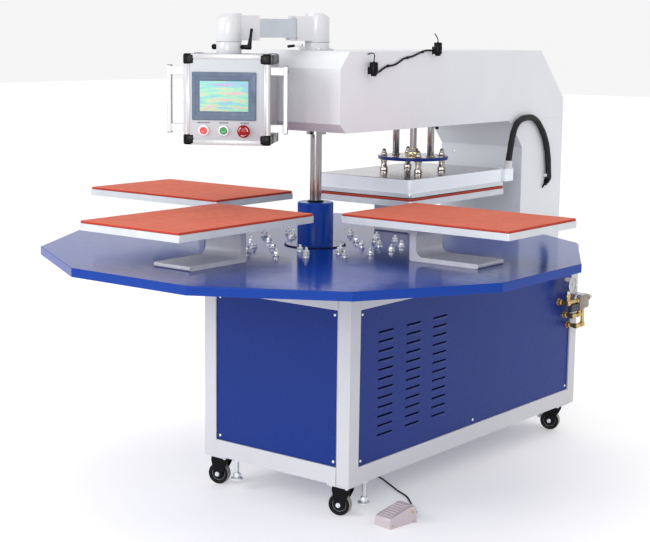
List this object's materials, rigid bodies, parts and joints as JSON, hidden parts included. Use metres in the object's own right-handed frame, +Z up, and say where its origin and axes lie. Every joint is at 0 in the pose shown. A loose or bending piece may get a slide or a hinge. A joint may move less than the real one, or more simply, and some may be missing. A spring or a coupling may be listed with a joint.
{
  "type": "rotary heat press",
  "caption": "Rotary heat press: powered twelve-sided table carries padded platens past a pneumatic press head under a cantilever arm.",
  "frame": {"origin": "on the floor under the centre of the machine's bounding box", "axes": "+Z up, +Y from the loading front towards the column at the rear, +X towards the side with the air regulator"},
  "size_m": [1.727, 2.18, 1.5885],
  "materials": {
    "frame_white": "powder coat",
    "panel_blue": "gloss powder coat",
    "arm_white": "powder coat",
    "bracket_cast": "cast, bead blasted",
    "platen_aluminium": "milled",
    "silicone": "matte sponge",
    "zinc": "zinc plated",
    "chrome_steel": "ground and polished",
    "brass_fitting": "turned",
    "black_plastic": "moulded",
    "black_rubber": "moulded",
    "wheel_rubber": "moulded",
    "box_aluminium": "anodised",
    "screen_bezel": "moulded",
    "button_red": "gloss",
    "button_green": "gloss",
    "pedal_casting": "hammered enamel",
    "regulator_grey": "moulded",
    "motor_dark": "painted",
    "gauge_steel": "polished"
  },
  "bodies": {
    "root": {"cabinet_frame": "frame_white", "end_panels": "panel_blue", "side_panels": "panel_blue", "floor_panel": "panel_blue", "panel_screws": "zinc", "deck_plate": "frame_white", "bearing_ring": "motor_dark", "centre_post": "chrome_steel", "column_shell": "arm_white", "arm_shell": "arm_white", "press_cylinder": "motor_dark", "guide_bushes": "brass_fitting", "index_motor": "motor_dark", "electrics_box": "frame_white", "air_regulator": "regulator_grey", "pressure_gauge": "gauge_steel", "air_fittings": "brass_fitting", "braided_conduit": "black_rubber", "laser_cable": "black_rubber", "laser_pods": "black_plastic", "pedal_base": "pedal_casting", "pedal_cable": "black_rubber", "cable_gland": "black_plastic", "support_base": "arm_white"},
    "carousel": {"table_plate": "panel_blue", "hub_sleeve": "panel_blue", "ring_gear": "motor_dark", "platen_brackets": "bracket_cast", "platens": "platen_aluminium", "silicone_pads": "silicone", "hub_bolts": "zinc"},
    "drive_pinion": {"drive_pinion": "motor_dark"},
    "press_head": {"heat_platen": "platen_aluminium", "platen_cover": "arm_white", "pressure_disc": "panel_blue", "adjusting_bolts": "zinc", "piston_rod": "chrome_steel", "guide_rods": "chrome_steel"},
    "support_arm": {"support_tube": "platen_aluminium", "support_elbows": "arm_white"},
    "base_lever": {"base_lever": "black_plastic"},
    "control_head": {"control_box": "box_aluminium", "touch_screen": "screen_bezel", "box_handles": "box_aluminium", "box_swivel": "arm_white"},
    "box_lever": {"box_lever": "black_plastic"},
    "stop_button": {"stop_button": "button_red"},
    "start_button": {"start_button": "button_green"},
    "emergency_button": {"emergency_button": "button_red"},
    "regulator_knob": {"regulator_knob": "black_plastic"},
    "levelling_feet": {"levelling_feet": "zinc"},
    "pedal_treadle": {"pedal_treadle": "pedal_casting"},
    "caster_fork_1": {"caster_fork_1": "black_plastic"},
    "caster_wheel_1": {"caster_wheel_1": "wheel_rubber"},
    "caster_fork_2": {"caster_fork_2": "black_plastic"},
    "caster_wheel_2": {"caster_wheel_2": "wheel_rubber"},
    "caster_fork_3": {"caster_fork_3": "black_plastic"},
    "caster_wheel_3": {"caster_wheel_3": "wheel_rubber"},
    "caster_fork_4": {"caster_fork_4": "black_plastic"},
    "caster_wheel_4": {"caster_wheel_4": "wheel_rubber"}
  },
  "joints": [
    {"name": "carousel_spin", "type": "hinge", "parent": "root", "child": "carousel", "pos_m": [0, -0.2265, 0.835], "axis": [0, 0, 1], "continuous": true},
    {"name": "pinion_spin", "type": "hinge", "parent": "root", "child": "drive_pinion", "pos_m": [0, -0.039, 0.76], "axis": [0, 0, 1], "continuous": true},
    {"name": "press_stroke", "type": "slide", "parent": "root", "child": "press_head", "axis": [0, 0, 1], "range_m": [-0.003, 0.07], "deforming": ["braided_conduit"]},
    {"name": "support_swing", "type": "hinge", "parent": "root", "child": "support_arm", "pos_m": [0, -0.2265, 1.5], "axis": [0, 0, 1], "range_deg": [0, 35]},
    {"name": "base_clamp", "type": "hinge", "parent": "root", "child": "base_lever", "pos_m": [-0.04098, -0.25851, 1.484], "axis": [0, 0, 1], "range_deg": [0, 70]},
    {"name": "box_turn", "type": "hinge", "parent": "support_arm", "child": "control_head", "pos_m": [-0.128, -0.5105, 1.495], "axis": [0, 0, 1], "range_deg": [-60, 12]},
    {"name": "box_clamp", "type": "hinge", "parent": "control_head", "child": "box_lever", "pos_m": [-0.08045, -0.49505, 1.48], "axis": [0.9511, 0.309, 0], "range_deg": [0, 60]},
    {"name": "stop_press", "type": "slide", "parent": "control_head", "child": "stop_button", "axis": [-0.5329, 0.8462, 0], "range_m": [0, 0.004], "stiffness_N_per_m": 600, "springref_m": -0.002},
    {"name": "start_press", "type": "slide", "parent": "control_head", "child": "start_button", "axis": [-0.5329, 0.8462, 0], "range_m": [0, 0.004], "stiffness_N_per_m": 600, "springref_m": -0.002},
    {"name": "emergency_press", "type": "slide", "parent": "control_head", "child": "emergency_button", "axis": [-0.5329, 0.8462, 0], "range_m": [0, 0.005], "stiffness_N_per_m": 900, "springref_m": -0.002},
    {"name": "regulator_turn", "type": "hinge", "parent": "root", "child": "regulator_knob", "pos_m": [0.343, 1.0405, 0.527], "axis": [0, 1, 0], "range_deg": [-270, 270]},
    {"name": "feet_screw", "type": "slide", "parent": "root", "child": "levelling_feet", "axis": [0, 0, -1], "range_m": [-0.01, 0.04]},
    {"name": "treadle_press", "type": "hinge", "parent": "root", "child": "pedal_treadle", "pos_m": [0.43571, -0.3039, 0.036], "axis": [0.9903, -0.1392, 0], "range_deg": [0, 5], "stiffness_Nm_per_rad": 4, "springref_deg": -2.86},
    {"name": "caster_swivel_1", "type": "hinge", "parent": "root", "child": "caster_fork_1", "pos_m": [-0.26, -0.3885, 0.103], "axis": [0, 0, 1], "continuous": true},
    {"name": "wheel_roll_1", "type": "hinge", "parent": "caster_fork_1", "child": "caster_wheel_1", "pos_m": [-0.27435, -0.39289, 0.0375], "axis": [0.2924, -0.9563, 0], "continuous": true},
    {"name": "caster_swivel_2", "type": "hinge", "parent": "root", "child": "caster_fork_2", "pos_m": [0.26, -0.3885, 0.103], "axis": [0, 0, 1], "continuous": true},
    {"name": "wheel_roll_2", "type": "hinge", "parent": "caster_fork_2", "child": "caster_wheel_2", "pos_m": [0.24566, -0.39289, 0.0375], "axis": [0.2924, -0.9563, 0], "continuous": true},
    {"name": "caster_swivel_3", "type": "hinge", "parent": "root", "child": "caster_fork_3", "pos_m": [-0.26, 0.9635, 0.103], "axis": [0, 0, 1], "continuous": true},
    {"name": "wheel_roll_3", "type": "hinge", "parent": "caster_fork_3", "child": "caster_wheel_3", "pos_m": [-0.27435, 0.95911, 0.0375], "axis": [0.2924, -0.9563, 0], "continuous": true},
    {"name": "caster_swivel_4", "type": "hinge", "parent": "root", "child": "caster_fork_4", "pos_m": [0.26, 0.9635, 0.103], "axis": [0, 0, 1], "continuous": true},
    {"name": "wheel_roll_4", "type": "hinge", "parent": "caster_fork_4", "child": "caster_wheel_4", "pos_m": [0.24566, 0.95911, 0.0375], "axis": [0.2924, -0.9563, 0], "continuous": true}
  ],
  "couplings": [
    {"joint": "pinion_spin", "follows": "carousel_spin", "ratio": -4}
  ]
}
